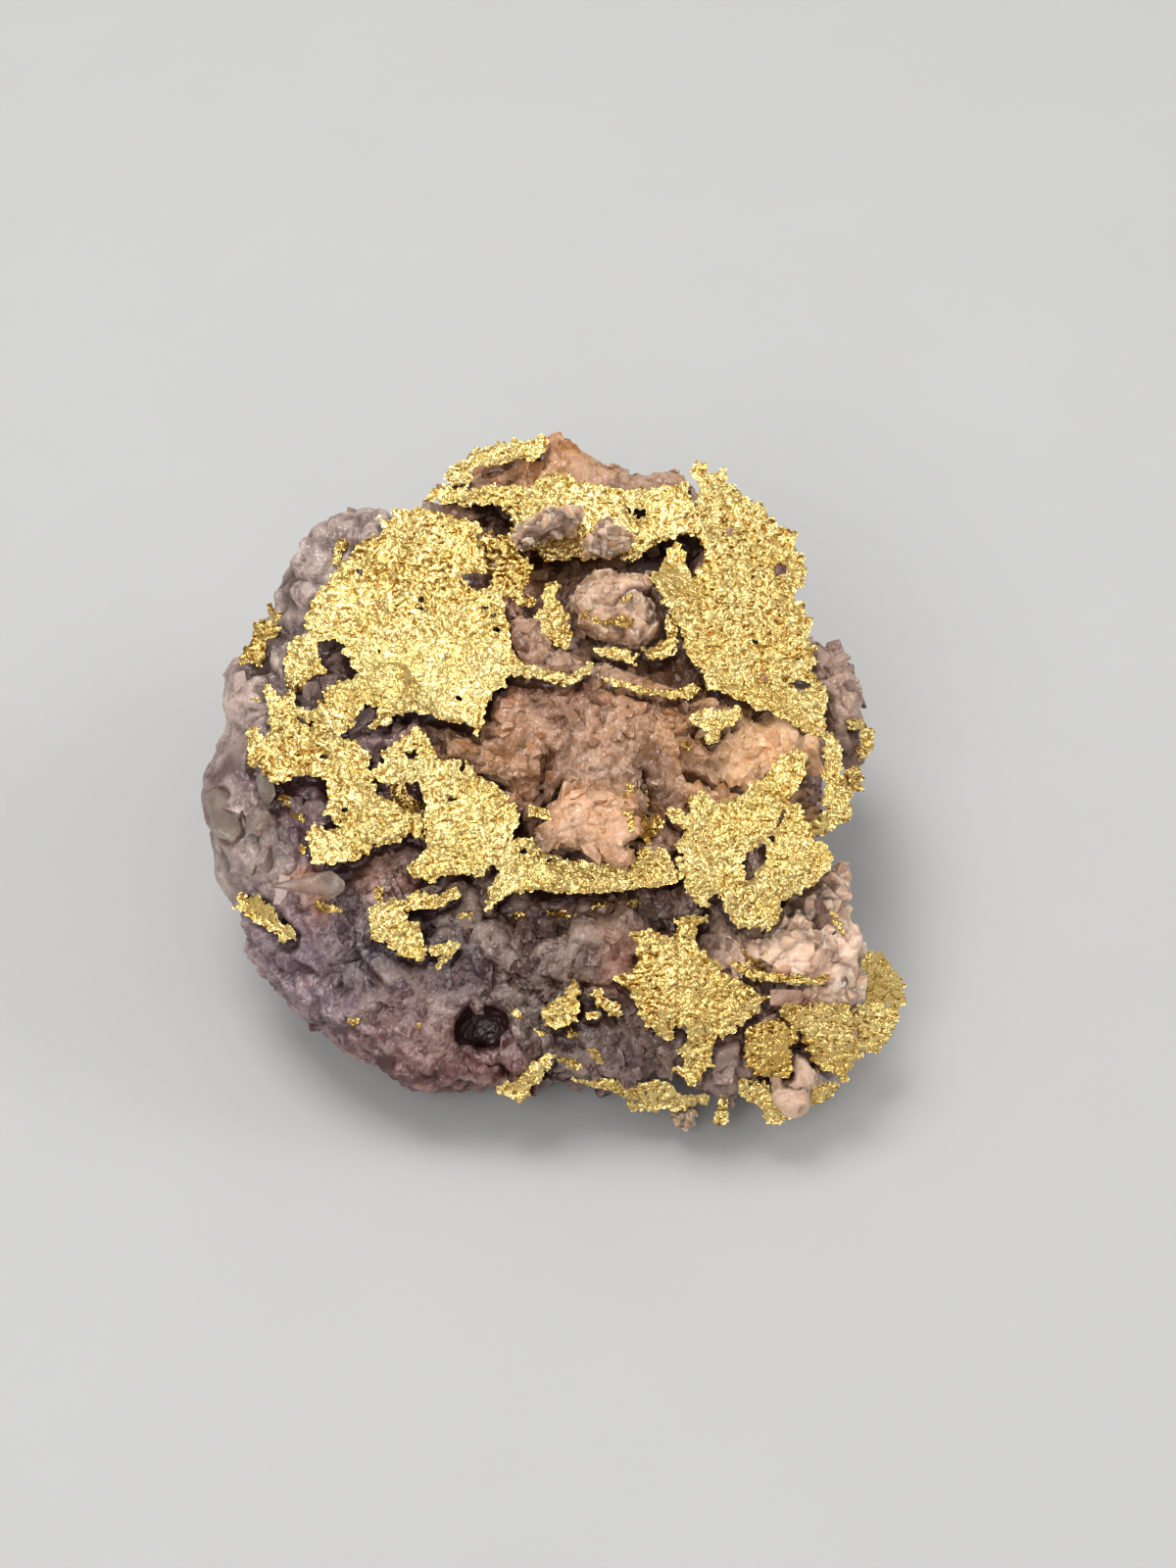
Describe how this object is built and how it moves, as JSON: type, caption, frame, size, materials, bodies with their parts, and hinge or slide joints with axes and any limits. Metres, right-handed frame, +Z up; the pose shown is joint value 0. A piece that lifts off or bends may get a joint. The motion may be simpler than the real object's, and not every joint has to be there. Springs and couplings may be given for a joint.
{
  "type": "leaf gold specimen",
  "caption": "Mineral specimen: crumpled, ragged-edged sheets of native leaf gold grown over and through a lump of purple-grey to brown quartz, resting loose on its underside.",
  "frame": {"origin": "on the surface that the specimen rests on, under the middle of its outline", "axes": "+Z up; +X to the right and -Y towards the viewer as it is shown, gold face up and to the front"},
  "size_m": [0.0182, 0.0174, 0.0108],
  "materials": {
    "quartz": "satin",
    "quartz_pale": "satin",
    "quartz_clear": "gloss",
    "gold": "satin"
  },
  "bodies": {
    "root": {"quartz_mass": "quartz", "quartz_knob": "quartz_pale", "quartz_right_lump": "quartz_pale", "quartz_blob_left": "quartz_pale", "quartz_blob_right": "quartz_pale", "quartz_chip": "quartz_pale", "quartz_bottom_chip": "quartz_pale", "crystal_upper": "quartz_clear", "crystal_middle": "quartz_clear", "crystal_lower": "quartz_clear", "crystal_long": "quartz_clear", "leaf_back_rim": "gold", "leaf_back": "gold", "leaf_right_large": "gold", "leaf_far_right_upper": "gold", "leaf_far_right_lower": "gold", "leaf_right_edge": "gold", "leaf_fringe": "gold", "leaf_upper_left": "gold", "leaf_left_edge": "gold", "leaf_lower_left": "gold", "leaf_middle": "gold", "leaf_stick": "gold", "leaf_front_right": "gold", "leaf_ridge_edge": "gold", "leaf_sprig": "gold", "leaf_knob_left": "gold", "leaf_knob_right": "gold", "leaf_seam_upper": "gold", "leaf_patch": "gold", "leaf_small_front": "gold", "leaf_hook": "gold", "leaf_spur": "gold", "leaf_left_small": "gold", "leaf_spot": "gold", "leaf_star": "gold", "leaf_lower_right": "gold", "leaf_loop": "gold", "leaf_seam_lower": "gold", "leaf_corner_fringe": "gold", "leaf_disc": "gold", "leaf_corner": "gold", "leaf_tail": "gold", "leaf_corner_bottom": "gold", "leaf_dangle": "gold", "leaf_bottom": "gold", "leaf_bottom_spike": "gold"}
  },
  "joints": []
}
